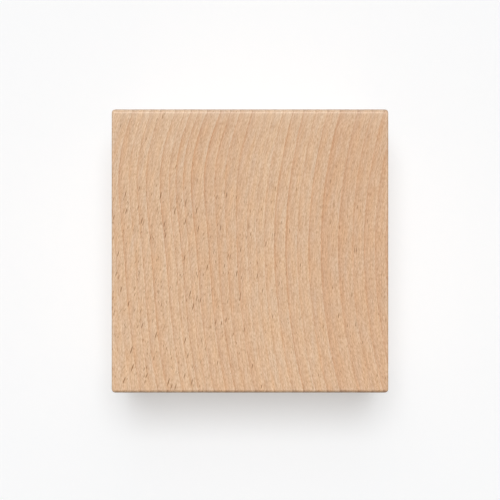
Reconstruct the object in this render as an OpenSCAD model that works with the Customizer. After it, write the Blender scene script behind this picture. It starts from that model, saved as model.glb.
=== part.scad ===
// Wooden cube: one solid block of beech, planed square, with its edges and corners lightly rounded over.
// +Z is up, +Y runs along the grain, and the origin is at the middle of the face it stands on.

/* [Block] */
// Width across the grain, along X
block_width = 60; // [20:0.5:120]
// Length along the grain, along Y
block_length = 61.5; // [20:0.5:120]
// Height as it stands, along Z
block_height = 60; // [20:0.5:120]

/* [Rounded edges] */
// Radius of the round-over on the edges and corners
edge_radius = 0.8; // [0.2:0.1:6]
// Number of sides on a full circle of the round-over
edge_sides = 64; // [16:4:128]

/* [Hidden] */
beech = [0.847, 0.702, 0.573];
$fn = edge_sides;

// Middles of the rounded corners, and of the rounded edges that join them
round_x = block_width / 2 - edge_radius;
round_y = block_length / 2 - edge_radius;
round_z = block_height / 2 - edge_radius;

// The block's three pairs of flat faces: each box is full size along one axis and stops
// where the round-over starts along the other two.
module flat_faces() {
    cube([block_width, 2 * round_y, 2 * round_z], center = true);
    cube([2 * round_x, block_length, 2 * round_z], center = true);
    cube([2 * round_x, 2 * round_y, block_height], center = true);
}

// Four parallel rounded edges of one run, along Z, at plus and minus two distances
module edge_run(run, across, beside) {
    for (side = [-1, 1], end = [-1, 1])
        translate([side * across, end * beside, 0])
            cylinder(h = run, r = edge_radius, center = true);
}

// The round-over on the twelve edges
module rounded_edges() {
    edge_run(2 * round_z, round_x, round_y);
    rotate([90, 0, 0]) edge_run(2 * round_y, round_x, round_z);
    rotate([0, 90, 0]) edge_run(2 * round_x, round_z, round_y);
}

// The ball-shaped corners where three rounded edges meet
module rounded_corners() {
    for (x = [-1, 1], y = [-1, 1], z = [-1, 1])
        translate([x * round_x, y * round_y, z * round_z]) sphere(r = edge_radius);
}

// The whole block, standing on its underside
module wooden_cube() {
    color(beech)
        translate([0, 0, block_height / 2])
            union() {
                flat_faces();
                rounded_edges();
                rounded_corners();
            }
}

wooden_cube();
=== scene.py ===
"""A solid beech cube, planed, eased at the edges and oiled, on a pale floor under soft light from above.

Everything is in metres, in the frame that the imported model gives: +Z up, +Y along the grain, and the
origin in the middle of the face that the cube stands on. Sizes and places in the grain are in millimetres.
"""

import math

import bmesh
import bpy
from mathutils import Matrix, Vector


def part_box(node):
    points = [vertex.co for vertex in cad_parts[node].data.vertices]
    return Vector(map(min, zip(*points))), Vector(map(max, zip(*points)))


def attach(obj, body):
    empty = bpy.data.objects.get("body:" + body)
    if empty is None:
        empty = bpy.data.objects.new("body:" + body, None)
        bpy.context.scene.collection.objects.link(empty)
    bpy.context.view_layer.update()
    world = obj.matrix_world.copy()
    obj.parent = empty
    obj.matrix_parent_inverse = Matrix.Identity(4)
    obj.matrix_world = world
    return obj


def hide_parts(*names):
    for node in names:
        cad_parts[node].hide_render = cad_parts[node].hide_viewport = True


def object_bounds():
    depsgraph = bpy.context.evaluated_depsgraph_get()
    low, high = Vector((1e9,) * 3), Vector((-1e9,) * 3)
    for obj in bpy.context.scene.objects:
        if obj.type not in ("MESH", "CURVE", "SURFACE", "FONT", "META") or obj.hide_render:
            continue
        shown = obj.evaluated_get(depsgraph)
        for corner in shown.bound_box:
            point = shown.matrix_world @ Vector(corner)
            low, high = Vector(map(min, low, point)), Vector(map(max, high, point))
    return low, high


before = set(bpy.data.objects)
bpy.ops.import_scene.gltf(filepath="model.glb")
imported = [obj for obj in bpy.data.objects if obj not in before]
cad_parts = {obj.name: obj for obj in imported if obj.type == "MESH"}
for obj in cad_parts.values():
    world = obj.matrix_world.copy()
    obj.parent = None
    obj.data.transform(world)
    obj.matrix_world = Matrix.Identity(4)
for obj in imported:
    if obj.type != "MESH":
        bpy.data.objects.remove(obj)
CAD_LOW, CAD_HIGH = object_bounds()

bl_info = {
    "name": "Wooden Cube",
    "version": (1, 0, 0),
    "blender": (4, 5, 0),
    "location": "View3D > Sidebar > Wooden Cube",
    "description": "Models a solid beech cube with eased edges and sets it on a pale floor",
    "category": "Add Mesh",
}

SOLID = "wooden_cube"
BODY = "root"

MM = 0.001
MM_PER_METRE = 1000.0
HALF_WIDTH = CAD_HIGH.x * MM_PER_METRE

# Share of an edge's length from which it counts as running along an axis
ALONG_AXIS = 0.9
# Gap round each side on the bake map, as a share of the map
MAP_GAP = 0.003

# The year rings where they cross the top face, from the bark side on the left to the pith side on the
# right: each one's width, and how dark its late wood is beside the darkest ring
FIRST_RING_AT = -36.9
YEAR_RINGS = (
    (2.9, 0.65), (1.9, 0.78), (1.7, 0.58), (1.8, 0.40), (1.8, 0.48), (2.3, 0.78), (1.6, 0.64), (1.9, 0.82),
    (3.2, 0.85), (2.0, 0.90), (1.4, 0.74), (1.6, 1.00), (1.6, 0.85), (2.6, 0.90), (1.9, 0.95), (1.9, 0.78),
    (2.2, 0.70), (2.4, 0.80), (1.8, 0.52), (1.7, 0.52), (2.1, 0.66), (2.3, 0.85), (2.5, 1.00), (2.5, 0.64),
    (2.7, 0.80), (3.8, 0.72), (3.0, 0.62), (2.5, 0.58), (2.4, 0.70), (2.2, 0.66), (2.8, 0.60), (4.6, 0.60),
)
# How a ring's dark late wood fades into pale early wood: places as shares of the ring's width, and darkness
RING_FADE = ((0.0, 1.0), (0.05, 1.0), (0.15, 0.50), (0.45, 0.31), (0.78, 0.145), (0.92, 0.0))
# How dark the wood is over broad bands of rings: places as shares of the way across all rings, and darkness
BAND_DARKNESS = (
    (0.0, 0.04), (0.12, 0.05), (0.22, 0.0), (0.33, 0.03), (0.41, 0.15), (0.48, 0.13), (0.54, 0.02),
    (0.64, 0.05), (0.70, 0.08), (0.72, 0.24), (0.75, 0.18), (0.77, 0.24), (0.81, 0.18), (0.86, 0.22),
    (1.0, 0.26),
)
# How much of the way from the palest to the darkest wood the rings take beside the bands, and how far that
# share swings with the drift of the grain
RING_DEPTH, RING_SWING = 0.80, 0.15
# The rings are a little fainter towards the near end: where they are faintest and full, and the least share
FAINTEST_AT, FULL_AT, FAINTEST = -28, -8, 0.88

# How far the rings bow to the right per square millimetre along the grain, at two places across it
BOW_PLACES, RING_BOW = (-20, 20), (0.0032, 0.0046)
# The further swerve to the left on the upper left: its middle and length along the grain, the places across
# it where it starts and is full, and how far it goes there
SWERVE_MIDDLE, SWERVE_LENGTH = 19.5, 15.0
SWERVE_PLACES, SWERVE_REACH = (10, -15), 2.6
# How far the rings move towards the bark per millimetre down into the block, and how that grows with depth
RING_SLANT, RING_ROUND = 0.6, 0.004
# How far the fibres and the ray flecks lean to the right per millimetre along, at the left and right edges
FIBRE_LEAN, RAY_LEAN = (0.10, 0.02), (0.29, 0.03)

# Sizes of the grain's patterns across and along the fibres, and how much finer noise is laid over them.
# Real vessels are under 0.1 mm wide, too fine to show, so the dashes are drawn as wide as they need to be.
GRAIN_PATTERNS = {
    "drift": (7.0, 22.0, 0),
    "wander": (0.21, 1.4, 1),
    "patches": (1.2, 7.0, 1),
    "streaks": (0.165, 3.5, 0),
    "dashes": (0.145, 0.70, 1),
}
# Levels of the noise between which each effect grows from none to full
DRIFT_LEVELS = (0.3, 0.7)
WANDER_LEVELS = (0.25, 0.75)
PATCH_LEVELS = (0.2, 0.8)
STREAK_LEVELS = (0.7, 0.3)
DASH_LEVELS = (0.65, 0.27)
RAY_LEVELS = (0.65, 0.35)
# How far two of the patterns push the rings out of line
RING_WANDER = {"drift": 0.12, "wander": 0.05}
# How strong full streaks are, and full dashes in the middle and at the pith side, where they are strongest
STREAK_STRENGTH = 0.45
DASH_STRENGTH = (0.9, 1)

# Layers of ray flecks: length beside the longest, thickness, and darkness
FLECK_LAYERS = ((1.0, 0.30, 1.0), (0.45, 0.20, 0.7))
# How far the smallest and the largest fleck reach in their cells, as shares of the cell
FLECK_LEAST, FLECK_REACH = 0.02, 0.37
# The draws that give the smallest and the largest fleck, and the shares of its reach over which a fleck fades
FLECK_DRAWS, FLECK_RIM = (0.45, 1.0), (0.5, 1)
# Where the flecks shrink: the axis, the places where they are full and least, and the least share
FLECK_ZONES = (("x", -18, 10, 0.63), ("y", 8, 24, 0.6), ("y", -12, -26, 0.87))

# How far the darker oiled end grain is drawn round the edges of the near and the far end, by the way the
# surface faces and by how dark the ring is, and what the streaks add to that. The extra at the near end,
# which faces away from the lamps, is painted shade
OIL_AND_SHADE_BY_FACING, OIL_AND_SHADE_BY_RING, OIL_AND_SHADE_BY_STREAK = (1.14, 1.0), (1.08, 0.2), 0.5
# Sums of these at which the oil and painted shade start to show and are full, and how far a surface has to
# face along the grain
OIL_AND_SHADE_LEVELS, OIL_AND_SHADE_FACING = (0.48, 1.6), 0.25
# Sizes of the lines of the rays on the cut ends, across and along them, and how strong they are
RAY_ACROSS, RAY_ALONG, RAY_STRENGTH = 0.35, 7.0, 0.48
# Painted sheen, a paler run of wood beside the far edge for the shine of the light from beyond it: where it
# starts and is full along the grain, how steeply it grows between them, how deep down the sides it goes, and
# how strong it is
SHEEN_RUN, SHEEN_CURVE, SHEEN_DEPTH, SHEEN_STRENGTH = (22.5, 29.6), 4.0, 4, 0.085

# How squarely a surface still faces along one axis where an edge's round-over starts and where it is full
EDGE_FACING = (0.9999, 0.998)
# What the sanded edges take from the roughness, and what the oiled ends and the flecks add to it
EDGE_SMOOTHER, END_DULLER, FLECK_DULLER = 0.22, 0.08, 0.12
# Depth and strength of the relief, and the heights of streaks and flecks in it beside the dashes
RELIEF_DEPTH, RELIEF_STRENGTH = 0.03 * MM, 0.3
STREAK_HEIGHT, FLECK_HEIGHT = 0.5, -0.8
OILED_WOOD_IOR = 1.5

# Sockets and settings of a node that mixes two colours
MIX_A, MIX_B = 6, 7
MIX_COLOURS = {"data_type": "RGBA", "out": 2}

FLOOR_SIZE = 8
# Each lamp's place from the middle of the top side, and its width and depth
LAMPS = {
    "key_light": ((-0.05, 0.90, 7.5), 2.0, 2.0),
    "wide_light": ((-0.05, 1.95, 7.5), 3.5, 2.75),
    "back_light": ((0, 2.5, 0.10), 1.6, 0.3),
}
# Width of the camera's sensor in the millimetres that lenses have, and how far it stands beyond the middle
SENSOR_WIDTH = 36
CAMERA_BEYOND = 0.215 * MM


def linear(hex_colour):
    """An sRGB colour such as D8B392 as linear red, green, blue and alpha."""
    shares = [int(hex_colour[i:i + 2], 16) / 255 for i in (0, 2, 4)]
    return (*[c / 12.92 if c <= 0.04045 else ((c + 0.055) / 1.055) ** 2.4 for c in shares], 1.0)


NO_TINT = linear("FFFFFF")


def per_mm(*sizes):
    """The scale that gives a pattern cells of these sizes in millimetres."""
    return tuple(1 / size for size in sizes)


def add(tree, kind, *inputs, sockets=(), out=0, **settings):
    """Adds a shader node, fills its inputs in order or by name with links or values, and gives one output."""
    node = tree.nodes.new("ShaderNode" + kind)
    for name, value in settings.items():
        setattr(node, name, value)
    for key, value in (*enumerate(inputs), *dict(sockets).items()):
        if isinstance(value, bpy.types.NodeSocket):
            tree.links.new(value, node.inputs[key])
        else:
            node.inputs[key].default_value = value
    return node.outputs[out]


class BlockShape(bpy.types.PropertyGroup):
    """Sizes of the block."""

    edge_width: bpy.props.FloatProperty(
        name="Edge width", description="Width of the sanded round-over on the edges of the cut ends",
        default=1.0 * MM, min=0.2 * MM, max=6 * MM, unit="LENGTH", precision=4)
    long_edge_share: bpy.props.FloatProperty(
        name="Long edge share", description="Width of the round-over along the grain beside the others",
        default=0.52, min=0.1, max=1, subtype="FACTOR")
    edge_fullness: bpy.props.FloatProperty(
        name="Edge fullness", description="Fullness of the round-over, where 0.5 is a circle's arc",
        default=0.605, min=0.3, max=0.9, subtype="FACTOR")
    edge_steps: bpy.props.IntProperty(
        name="Edge steps", description="Faces across each round-over, an even number",
        default=8, min=2, max=16)
    face_cell: bpy.props.FloatProperty(
        name="Face cell", description="Size of the faces that the flat sides are divided into",
        default=1.0 * MM, min=0.7 * MM, max=10 * MM, unit="LENGTH", precision=4)


class BeechLook(bpy.types.PropertyGroup):
    """Colours and grain of the beech."""

    early_wood: bpy.props.FloatVectorProperty(
        name="Early wood", description="Colour of the palest wood, which starts each year's growth",
        size=4, subtype="COLOR", min=0, max=1, default=linear("ECD0AF"))
    late_wood: bpy.props.FloatVectorProperty(
        name="Late wood", description="Colour of the darkest wood, which ends each year's growth",
        size=4, subtype="COLOR", min=0, max=1, default=linear("D8A981"))
    warm_patch: bpy.props.FloatVectorProperty(
        name="Warm patch", description="Tint of the warmest of the soft patches",
        size=4, subtype="COLOR", min=0, max=1, default=linear("FFF5EB"))
    cool_patch: bpy.props.FloatVectorProperty(
        name="Cool patch", description="Tint of the coolest of the soft patches",
        size=4, subtype="COLOR", min=0, max=1, default=linear("FAFAFF"))
    dash: bpy.props.FloatVectorProperty(
        name="Dash", description="Tint of the fine dark dashes of the cut vessels",
        size=4, subtype="COLOR", min=0, max=1, default=linear("DECFC0"))
    # End grain and painted shade: the cut ends' own darker tint, laid on more at the near end as painted
    # shade
    end_grain_and_shade: bpy.props.FloatVectorProperty(
        name="End grain", description="Tint of the cut fibre ends, which drink more oil",
        size=4, subtype="COLOR", min=0, max=1, default=linear("C8CBD0"))
    far_end: bpy.props.FloatVectorProperty(
        name="Far end", description="Tint of the wood at the far end, a shade darker and cooler",
        size=4, subtype="COLOR", min=0, max=1, default=linear("FBFCFD"))
    # Painted sheen: the colour the wood is painted towards beside the far edge, for the shine of the light
    # from beyond it
    sanded: bpy.props.FloatVectorProperty(
        name="Sanded", description="Colour that sanding brings the wood towards beside the far edge",
        size=4, subtype="COLOR", min=0, max=1, default=linear("FFF7E6"))
    fleck: bpy.props.FloatVectorProperty(
        name="Fleck", description="Colour of the short dark ray flecks",
        size=4, subtype="COLOR", min=0, max=1, default=linear("8A5D33"))
    fleck_length: bpy.props.FloatProperty(
        name="Fleck length", description="Length of the longest ray flecks",
        default=2.5 * MM, min=0.4 * MM, max=6 * MM, unit="LENGTH", precision=4)
    roughness: bpy.props.FloatProperty(
        name="Roughness", description="Roughness of the oiled long grain",
        default=0.68, min=0.3, max=0.8, subtype="FACTOR")


class StageLook(bpy.types.PropertyGroup):
    """Floor, light and camera."""

    paper: bpy.props.FloatVectorProperty(
        name="Paper", description="Colour of the floor, cool enough to even out the warm light from the wood",
        size=4, subtype="COLOR", min=0, max=1, default=linear("F5FAFF"))
    # The warm lift against the cooler paper paints a warm tint into the cube's shadow on the floor, while the
    # open floor stays white
    lift: bpy.props.FloatVectorProperty(
        name="Lift", description="White that the floor is lifted towards, a little warm as the shadow is",
        size=4, subtype="COLOR", min=0, max=1, default=linear("FFFBF7"))
    lift_share: bpy.props.FloatProperty(
        name="Lift share", description="How far the floor is lifted to that white where it is seen",
        default=0.465, min=0, max=1, subtype="FACTOR")
    backdrop: bpy.props.FloatVectorProperty(
        name="Backdrop", description="Colour of what lies beyond the floor",
        size=4, subtype="COLOR", min=0, max=1, default=linear("FBFBFB"))
    frame_width: bpy.props.FloatProperty(
        name="Frame width", description="Width of the picture, measured on the cube's top face",
        default=108.40 * MM, min=50 * MM, max=1, unit="LENGTH", precision=4)
    lens: bpy.props.FloatProperty(
        name="Lens", description="Focal length of the camera",
        default=200, min=20, max=300, unit="CAMERA")
    key_light: bpy.props.FloatProperty(
        name="Key light", description="Share of the light that comes from the soft lamp overhead",
        default=0.835, min=0, max=1, subtype="FACTOR")
    wide_light: bpy.props.FloatProperty(
        name="Wide light", description="Share of the light that comes from the wide lamp round the key light",
        default=0.10, min=0, max=1, subtype="FACTOR")
    back_light: bpy.props.FloatProperty(
        name="Back light", description="Share of the light that comes from the lamp beyond the far edge",
        default=0.014, min=0, max=1, subtype="FACTOR")
    sky_light: bpy.props.FloatProperty(
        name="Sky light", description="Share of the light that comes from all round",
        default=0.05, min=0, max=1, subtype="FACTOR")


def select_edges(block, wanted):
    """Selects the edges of a block in edit mode that pass a test, and nothing else."""
    bpy.ops.mesh.select_all(action="DESELECT")
    mesh = bmesh.from_edit_mesh(block.data)
    for edge in mesh.edges:
        if wanted(edge):
            edge.select_set(True)
    bmesh.update_edit_mesh(block.data)


def runs_along(edge, axis):
    """Whether an edge runs along one axis."""
    first, last = edge.verts
    run = last.co - first.co
    return abs(run[axis]) > ALONG_AXIS * run.length


def lay_out_map(block):
    """Lays the six sides out flat on the bake map, the top twice as wide as the rest."""
    layer = block.data.uv_layers.new(name="OFBake")
    third = 1 / 3
    # Each side by its axis and direction: the corner and width of its square
    squares = {
        (2, True): (0, third, 2 * third), (2, False): (0, 0, third),
        (1, False): (third, 0, third), (1, True): (2 * third, 0, third),
        (0, False): (2 * third, third, third), (0, True): (2 * third, 2 * third, third),
    }
    size = CAD_HIGH - CAD_LOW
    for face in block.data.polygons:
        axis = max(range(3), key=lambda i: abs(face.normal[i]))
        left, bottom, width = squares[axis, face.normal[axis] > 0]
        across, up = [i for i in range(3) if i != axis]
        for corner in face.loop_indices:
            place = block.data.vertices[block.data.loops[corner].vertex_index].co - CAD_LOW
            layer.data[corner].uv = (
                left + MAP_GAP + (width - 2 * MAP_GAP) * place[across] / size[across],
                bottom + MAP_GAP + (width - 2 * MAP_GAP) * place[up] / size[up],
            )


def model_block(shape):
    """Models the block: a cube at its size and place, its edges rounded over and its sides divided."""
    low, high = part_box(SOLID)
    size = high - low
    bpy.ops.object.select_all(action="DESELECT")
    bpy.ops.mesh.primitive_cube_add(size=1, calc_uvs=False, location=(low + high) / 2, scale=size)
    block = bpy.context.object
    block.name = block.data.name = "beech_block"
    bpy.ops.object.transform_apply(location=True, rotation=True, scale=True)

    bpy.ops.object.mode_set(mode="EDIT")
    bpy.ops.mesh.select_mode(type="EDGE")
    for axis, share in enumerate((1, shape.long_edge_share, 1)):
        select_edges(block, lambda edge: runs_along(edge, axis))
        bpy.ops.transform.edge_bevelweight(value=share)
    bpy.ops.object.mode_set(mode="OBJECT")
    bpy.ops.object.modifier_add(type="BEVEL")
    round_over = block.modifiers[-1]
    round_over.limit_method = "WEIGHT"
    round_over.width = shape.edge_width
    round_over.segments = shape.edge_steps
    round_over.profile = shape.edge_fullness
    bpy.ops.object.modifier_apply(modifier=round_over.name)

    # The edges that run the whole length of a side are divided, and the sides between them with them
    bpy.ops.object.mode_set(mode="EDIT")
    select_edges(block, lambda edge: edge.calc_length() > min(size) / 2)
    bpy.ops.mesh.subdivide(number_cuts=round(max(size) / shape.face_cell) - 1)
    bpy.ops.mesh.select_all(action="SELECT")
    bpy.ops.mesh.normals_make_consistent(inside=False)
    bpy.ops.object.mode_set(mode="OBJECT")

    bpy.ops.object.shade_smooth()
    bpy.ops.object.modifier_add(type="WEIGHTED_NORMAL")
    bpy.ops.object.modifier_apply(modifier=block.modifiers[-1].name)
    lay_out_map(block)
    return block


def straightened(tree, x, y, z):
    """Place across without the bow of the rings, and places without the lean of the fibres and the flecks."""
    bend = add(tree, "MapRange", x, *BOW_PLACES, *RING_BOW)
    y_squared = add(tree, "Math", y, y, operation="MULTIPLY")
    bow = add(tree, "Math", y_squared, bend, operation="MULTIPLY")
    x_unbowed = add(tree, "Math", x, bow, operation="SUBTRACT")
    upright = []
    for x_start, leans in ((x_unbowed, FIBRE_LEAN), (x, RAY_LEAN)):
        lean = add(tree, "MapRange", x, -HALF_WIDTH, HALF_WIDTH, *leans)
        leaned = add(tree, "Math", lean, y, operation="MULTIPLY")
        x_upright = add(tree, "Math", x_start, leaned, operation="SUBTRACT")
        upright.append(add(tree, "CombineXYZ", x_upright, y, z))
    return x_unbowed, *upright


def grain_patterns(tree, fibre_mm):
    """Noise for the grain, each kind drawn out along the fibres to its own size."""
    patterns = {}
    for name, (across, along, detail) in GRAIN_PATTERNS.items():
        cells = add(tree, "VectorMath", fibre_mm, per_mm(across, along, across), operation="MULTIPLY")
        patterns[name] = add(tree, "TexNoise", cells, sockets={"Scale": 1, "Detail": detail})
    return patterns


def ring_place(tree, x, x_unbowed, y, depth, patterns):
    """Where across the middle of the top face the ring through each place comes out."""
    swerve_steps = add(tree, "MapRange", y, SWERVE_MIDDLE - SWERVE_LENGTH, SWERVE_MIDDLE, -1, 0, clamp=False)
    swerve_squared = add(tree, "Math", swerve_steps, swerve_steps, operation="MULTIPLY")
    swerve_hump = add(tree, "Math", math.exp(-1), swerve_squared, operation="POWER")
    swerve_reach = add(
        tree, "MapRange", x, *SWERVE_PLACES, 0, SWERVE_REACH, interpolation_type="SMOOTHSTEP")
    on_top = add(tree, "Math", swerve_hump, swerve_reach, x_unbowed, operation="MULTIPLY_ADD")
    for name, reach in RING_WANDER.items():
        wander = add(tree, "MapRange", patterns[name], *WANDER_LEVELS, -reach, reach)
        on_top = add(tree, "Math", on_top, wander, operation="ADD")

    # Each ring slants down into the block in an arc, and is known by where that arc meets the top face
    slant = add(tree, "Math", depth, RING_ROUND, RING_SLANT, operation="MULTIPLY_ADD")
    return add(tree, "Math", depth, slant, on_top, operation="MULTIPLY_ADD")


def ring_darkness(tree, ring_at, y, patterns):
    """How dark the year rings make each place, from 0 in the palest wood to 1 in the darkest."""
    # Ring number along the list of rings, which starts again past its end, then the share of the ring's width
    count = len(YEAR_RINGS)
    whole_width = sum(width for width, _ in YEAR_RINGS)
    lists = add(tree, "MapRange", ring_at, FIRST_RING_AT, FIRST_RING_AT + whole_width, clamp=False)
    along_rings = add(tree, "Math", lists, operation="FRACT")
    counted = add(tree, "FloatCurve", 1.0, along_rings)
    points = counted.node.mapping.curves[0].points
    grown = 0.0
    for year, (width, _) in enumerate(YEAR_RINGS[:-1], 1):
        grown += width
        points.new(grown / whole_width, year / count)
    for point in points:
        point.handle_type = "VECTOR"
    counted.node.mapping.update()
    ring_number = add(tree, "Math", counted, count, operation="MULTIPLY")
    through_ring = add(tree, "Math", ring_number, operation="FRACT")
    ring_year = add(tree, "Math", ring_number, operation="FLOOR")
    year_share = add(tree, "MapRange", ring_year, -0.5, count - 0.5)

    # Three ramps: each year's own darkness, the fade through its ring, and the broad bands
    year_stops = [(year / count, dark) for year, (_, dark) in enumerate(YEAR_RINGS)]
    shades = []
    for value, stops, steps in (
            (year_share, year_stops, "CONSTANT"), (through_ring, RING_FADE, "LINEAR"),
            (along_rings, BAND_DARKNESS, "LINEAR")):
        shade = add(tree, "ValToRGB", value)
        ramp = shade.node.color_ramp
        ramp.interpolation = steps
        ramp.elements.remove(ramp.elements[1])
        for i, (place, grey) in enumerate(stops):
            stop = ramp.elements.new(place) if i else ramp.elements[0]
            stop.color = (grey, grey, grey, 1)
        shades.append(shade)
    year_dark, fade, band_dark = shades

    least, most = [RING_DEPTH * (1 + swing) for swing in (-RING_SWING, RING_SWING)]
    strength = add(tree, "MapRange", patterns["drift"], *DRIFT_LEVELS, least, most)
    near_strength = add(tree, "MapRange", y, FAINTEST_AT, FULL_AT, FAINTEST, 1)
    near_fade = add(tree, "Math", fade, near_strength, operation="MULTIPLY")
    strong_fade = add(tree, "Math", near_fade, strength, operation="MULTIPLY")
    return add(tree, "Math", year_dark, strong_fade, band_dark, operation="MULTIPLY_ADD")


def ray_flecks(tree, x, y, ray_mm, fleck_length):
    """Spindles cut from the rays, thick on the bark side and sparse and small towards the pith."""
    places = {"x": x, "y": y}
    zone = 1.0
    for axis, full_at, least_at, least in FLECK_ZONES:
        fade = add(
            tree, "MapRange", places[axis], full_at, least_at, 1, least, interpolation_type="SMOOTHSTEP")
        zone = add(tree, "Math", zone, fade, operation="MULTIPLY")
    flecks = None
    for length_share, thickness, dark in FLECK_LAYERS:
        along = fleck_length * length_share / (2 * FLECK_REACH)
        across = thickness / (2 * FLECK_REACH)
        cells = add(tree, "VectorMath", ray_mm, per_mm(across, along, across), operation="MULTIPLY")
        far = add(tree, "TexVoronoi", cells, sockets={"Scale": 1, "Randomness": 1}, out="Distance")
        draw = add(tree, "SeparateColor", far.node.outputs["Color"])
        reach = add(tree, "MapRange", draw, *FLECK_DRAWS, FLECK_LEAST, FLECK_REACH)
        zone_reach = add(tree, "Math", reach, zone, operation="MULTIPLY")
        share = add(tree, "Math", far, zone_reach, operation="DIVIDE")
        layer = add(tree, "MapRange", share, *FLECK_RIM, dark, 0, interpolation_type="SMOOTHSTEP")
        flecks = layer if flecks is None else add(tree, "Math", flecks, layer, operation="MAXIMUM")
    return flecks


def oil_and_shade_on_cut_ends(tree, normal, faces_y, ring, streaks):
    """How far the oil that the cut fibre ends drink shows, with painted shade added at the near end, which
    faces away from the lamps, so more shows there than at the far one.
    """
    # Late wood and open vessels draw the oil, and the painted shade at the near end, over the edge, which
    # leaves its rim ragged
    faces_along = add(tree, "SeparateXYZ", normal, out="Y")
    by_facing = add(tree, "MapRange", faces_along, -1, 1, *OIL_AND_SHADE_BY_FACING)
    by_ring = add(tree, "MapRange", faces_along, -1, 1, *OIL_AND_SHADE_BY_RING)
    faced = add(tree, "Math", faces_y, by_facing, operation="MULTIPLY")
    ringed = add(tree, "Math", ring, by_ring, faced, operation="MULTIPLY_ADD")
    ragged = add(tree, "Math", streaks, OIL_AND_SHADE_BY_STREAK, ringed, operation="MULTIPLY_ADD")
    # None of it shows on the sides that don't turn towards an end
    most = add(tree, "MapRange", faces_y, 0, OIL_AND_SHADE_FACING)
    return add(tree, "MapRange", ragged, *OIL_AND_SHADE_LEVELS, 0, most, interpolation_type="SMOOTHSTEP")


def rays_on_cut_ends(tree, x, depth, ring_at, oil):
    """Fine dark lines of the rays on the cut ends, which run straight through the rings."""
    across_rays = add(tree, "Math", x, -RING_SLANT, depth, operation="MULTIPLY_ADD")
    ray_place = add(tree, "CombineXYZ", across_rays, 0.0, ring_at)
    cells = add(tree, "VectorMath", ray_place, per_mm(RAY_ACROSS, 1, RAY_ALONG), operation="MULTIPLY")
    noise = add(tree, "TexNoise", cells, sockets={"Scale": 1, "Detail": 1})
    lines = add(tree, "MapRange", noise, *RAY_LEVELS, 0, RAY_STRENGTH)
    # The lines follow the oil, so they are stronger at the near end, where painted shade is added
    return add(tree, "Math", lines, oil, operation="MULTIPLY")


def painted_sheen_beside_far_edge(tree, y, depth):
    """How far the wood is painted paler beside the far edge of the top side, as a painted sheen of the light
    from beyond that edge.
    """
    along_run = add(tree, "MapRange", y, *SHEEN_RUN)
    beside_far = add(tree, "Math", along_run, SHEEN_CURVE, operation="POWER")
    beside_top = add(tree, "MapRange", depth, 0, SHEEN_DEPTH, SHEEN_STRENGTH, 0)
    return add(tree, "Math", beside_far, beside_top, operation="MULTIPLY")


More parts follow.
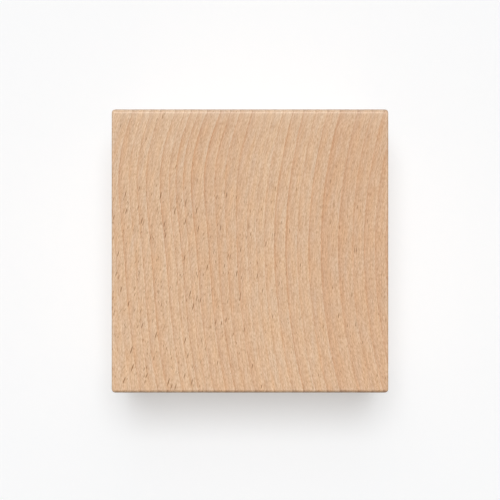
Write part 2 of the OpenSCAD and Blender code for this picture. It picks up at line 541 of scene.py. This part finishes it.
def beech_planed_and_oiled(look):
    """European beech, planed, sanded and lightly oiled.

    It gives the eye an even, pale tan with soft year rings, short dark ray flecks that lean with the fibres,
    and a dull satin shine that the sanded edges have a little more of. The cut fibre ends drink more oil, so
    they are darker and duller, and the near end is painted darker still as shade. The pattern is solid: each
    side shows the rings and flecks that reach it.
    """
    material = bpy.data.materials.new("Beech, planed and oiled")
    tree = empty_tree(material)

    # Place in millimetres and the way the surface faces
    place = add(tree, "TexCoord", out="Object")
    normal = place.node.outputs["Normal"]
    place_mm = add(tree, "VectorMath", place, sockets={"Scale": MM_PER_METRE}, operation="SCALE")
    x, y, z = add(tree, "SeparateXYZ", place_mm).node.outputs
    depth = add(tree, "Math", CAD_HIGH.z * MM_PER_METRE, z, operation="SUBTRACT")
    facing = add(tree, "VectorMath", normal, operation="ABSOLUTE")
    faces_x, faces_y, faces_z = add(tree, "SeparateXYZ", facing).node.outputs
    faces_across = add(tree, "Math", faces_x, faces_z, operation="MAXIMUM")
    faces_most = add(tree, "Math", faces_across, faces_y, operation="MAXIMUM")
    edge = add(tree, "MapRange", faces_most, *EDGE_FACING)

    # Grain, and what oil and sanding have done to it
    x_unbowed, fibre_mm, ray_mm = straightened(tree, x, y, z)
    patterns = grain_patterns(tree, fibre_mm)
    ring_at = ring_place(tree, x, x_unbowed, y, depth, patterns)
    ring = ring_darkness(tree, ring_at, y, patterns)
    fleck = ray_flecks(tree, x, y, ray_mm, look.fleck_length * MM_PER_METRE)
    # Oiled end grain, with painted shade added at the near end
    oil = oil_and_shade_on_cut_ends(tree, normal, faces_y, ring, patterns["streaks"])
    end_ray = rays_on_cut_ends(tree, x, depth, ring_at, oil)
    # Painted sheen: where the wood is painted paler beside the far edge
    pale = painted_sheen_beside_far_edge(tree, y, depth)

    # Colour: the rings, then the tints over them, then the painted sheen beside the far edge and the flecks
    # on top
    colour = add(tree, "Mix", ring, sockets={MIX_A: look.early_wood, MIX_B: look.late_wood}, **MIX_COLOURS)
    patch = add(tree, "MapRange", patterns["patches"], *PATCH_LEVELS)
    dash_strength = add(tree, "MapRange", x, 0, HALF_WIDTH, *DASH_STRENGTH)
    dash = add(tree, "MapRange", patterns["dashes"], *DASH_LEVELS, 0, dash_strength)
    streak = add(tree, "MapRange", patterns["streaks"], *STREAK_LEVELS, 0, STREAK_STRENGTH)
    towards_far = add(tree, "MapRange", y, -HALF_WIDTH, HALF_WIDTH)
    # The end-grain tint also carries the painted shade at the near end
    for share, none, full in (
            (patch, look.warm_patch, look.cool_patch), (dash, NO_TINT, look.dash),
            (streak, NO_TINT, look.dash), (oil, NO_TINT, look.end_grain_and_shade),
            (end_ray, NO_TINT, look.dash), (towards_far, NO_TINT, look.far_end)):
        tint = add(tree, "Mix", share, sockets={MIX_A: none, MIX_B: full}, **MIX_COLOURS)
        colour = add(
            tree, "Mix", 1.0, sockets={MIX_A: colour, MIX_B: tint}, blend_type="MULTIPLY", **MIX_COLOURS)
    for share, full in ((pale, look.sanded), (fleck, look.fleck)):
        colour = add(tree, "Mix", share, sockets={MIX_A: colour, MIX_B: full}, **MIX_COLOURS)

    # Shine and relief: the sanded edges are smoothest, flecks are open pits and cut ends are dull
    edge_dull = add(tree, "MapRange", edge, 0, 1, look.roughness, look.roughness - EDGE_SMOOTHER)
    end_dull = add(tree, "Math", oil, END_DULLER, edge_dull, operation="MULTIPLY_ADD")
    dull = add(tree, "Math", fleck, FLECK_DULLER, end_dull, operation="MULTIPLY_ADD")
    fibre_height = add(
        tree, "Math", patterns["streaks"], STREAK_HEIGHT, patterns["dashes"], operation="MULTIPLY_ADD")
    height = add(tree, "Math", fleck, FLECK_HEIGHT, fibre_height, operation="MULTIPLY_ADD")
    relief = add(tree, "Bump", sockets={
        "Strength": RELIEF_STRENGTH, "Distance": RELIEF_DEPTH, "Height": height})
    shader = add(tree, "BsdfPrincipled", sockets={
        "Base Color": colour, "Roughness": dull, "Normal": relief, "IOR": OILED_WOOD_IOR})
    add_output(tree, "Material", shader)
    return material


def empty_tree(owner):
    """Gives a material or a world nodes, with nothing in them yet."""
    owner.use_nodes = True
    owner.node_tree.nodes.clear()
    return owner.node_tree


def add_output(tree, kind, surface):
    """Ends the nodes of a material or a world with their output."""
    output = tree.nodes.new("ShaderNodeOutput" + kind)
    tree.links.new(surface, output.inputs["Surface"])


def pale_paper(look):
    """Matt white paper.

    It gives the eye an even white without a horizon, since it is lifted towards white where it is seen, and
    keeps the cube's soft shadow. The lift is a little warm and the paper a shade cool, which paints a warm
    tint into that shadow.
    """
    material = bpy.data.materials.new("Paper, matt white")
    tree = empty_tree(material)
    sheet = add(tree, "BsdfDiffuse", look.paper)
    glow = add(tree, "Emission", look.lift, 1.0)
    lifted = add(tree, "Math", seen_directly(tree), look.lift_share, operation="MULTIPLY")
    add_output(tree, "Material", add(tree, "MixShader", lifted, sheet, glow))
    return material


def seen_directly(tree):
    """One where a surface is seen by the camera, in a reflection or through glass, and else zero."""
    camera = add(tree, "LightPath", out="Is Camera Ray")
    path = camera.node.outputs
    mirrored = add(tree, "Math", camera, path["Is Glossy Ray"], operation="MAXIMUM")
    return add(tree, "Math", mirrored, path["Is Transmission Ray"], operation="MAXIMUM")


def soft_lamp(name, target, offset, width, depth, share):
    """An area lamp aimed at a point, which gives a level surface there this share of full light."""
    bpy.ops.object.light_add(type="AREA", location=target + offset)
    lamp = bpy.context.object
    lamp.name = lamp.data.name = name
    lamp.rotation_euler = (-offset).to_track_quat("-Z", "Y").to_euler()
    lamp.data.shape = "ELLIPSE"
    lamp.data.size, lamp.data.size_y = width, depth
    # What faces the lamp gets its power over pi times the distance squared, and pi of that is full light
    faces_lamp = offset.z / offset.length
    lamp.data.energy = share * math.pi ** 2 * offset.length_squared / faces_lamp


class WOODENCUBE_OT_beech_block(bpy.types.Operator):
    """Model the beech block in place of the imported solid"""

    bl_idname = "wooden_cube.beech_block"
    bl_label = "Beech Block"

    def execute(self, context):
        block = model_block(context.scene.cube_shape)
        block.data.materials.append(beech_planed_and_oiled(context.scene.cube_wood))
        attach(block, BODY)
        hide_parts(SOLID)
        return {"FINISHED"}


class WOODENCUBE_OT_stage(bpy.types.Operator):
    """Set the floor, the soft light and the camera that looks straight down"""

    bl_idname = "wooden_cube.stage"
    bl_label = "Stage"

    def execute(self, context):
        scene = context.scene
        look = scene.cube_stage
        top_middle = Vector((0, 0, CAD_HIGH.z))

        bpy.ops.object.select_all(action="DESELECT")
        bpy.ops.mesh.primitive_plane_add(size=FLOOR_SIZE)
        floor = context.object
        floor.name = floor.data.name = "floor"
        floor.data.materials.append(pale_paper(look))

        scene.world = scene.world or bpy.data.worlds.new("Soft light")
        tree = empty_tree(scene.world)
        strength = add(tree, "MapRange", seen_directly(tree), 0, 1, look.sky_light, 1)
        add_output(tree, "World", add(tree, "Background", look.backdrop, strength))
        for name, (place, width, depth) in LAMPS.items():
            soft_lamp(name, top_middle, Vector(place), width, depth, getattr(look, name))

        rise = look.frame_width * look.lens / SENSOR_WIDTH
        bpy.ops.object.camera_add(location=top_middle + Vector((0, CAMERA_BEYOND, rise)), rotation=(0, 0, 0))
        scene.camera = context.object
        scene.camera.data.lens = look.lens
        scene.camera.data.sensor_width = SENSOR_WIDTH
        scene.view_settings.view_transform = "Standard"
        return {"FINISHED"}


class WOODENCUBE_PT_panel(bpy.types.Panel):
    """Lists the cube's sizes, colours and steps in the sidebar."""

    bl_label = "Wooden Cube"
    bl_space_type = "VIEW_3D"
    bl_region_type = "UI"
    bl_category = "Wooden Cube"

    def draw(self, context):
        for group in (context.scene.cube_shape, context.scene.cube_wood, context.scene.cube_stage):
            for name in group.__annotations__:
                self.layout.prop(group, name)
        for step in (WOODENCUBE_OT_beech_block, WOODENCUBE_OT_stage):
            self.layout.operator(step.bl_idname)


CLASSES = (
    BlockShape, BeechLook, StageLook,
    WOODENCUBE_OT_beech_block, WOODENCUBE_OT_stage, WOODENCUBE_PT_panel,
)


def register():
    for one in CLASSES:
        bpy.utils.register_class(one)
    bpy.types.Scene.cube_shape = bpy.props.PointerProperty(type=BlockShape)
    bpy.types.Scene.cube_wood = bpy.props.PointerProperty(type=BeechLook)
    bpy.types.Scene.cube_stage = bpy.props.PointerProperty(type=StageLook)


def unregister():
    del bpy.types.Scene.cube_shape
    del bpy.types.Scene.cube_wood
    del bpy.types.Scene.cube_stage
    for one in reversed(CLASSES):
        bpy.utils.unregister_class(one)


def main():
    register()
    bpy.ops.wooden_cube.beech_block()
    bpy.ops.wooden_cube.stage()


if __name__ == "__main__":
    main()
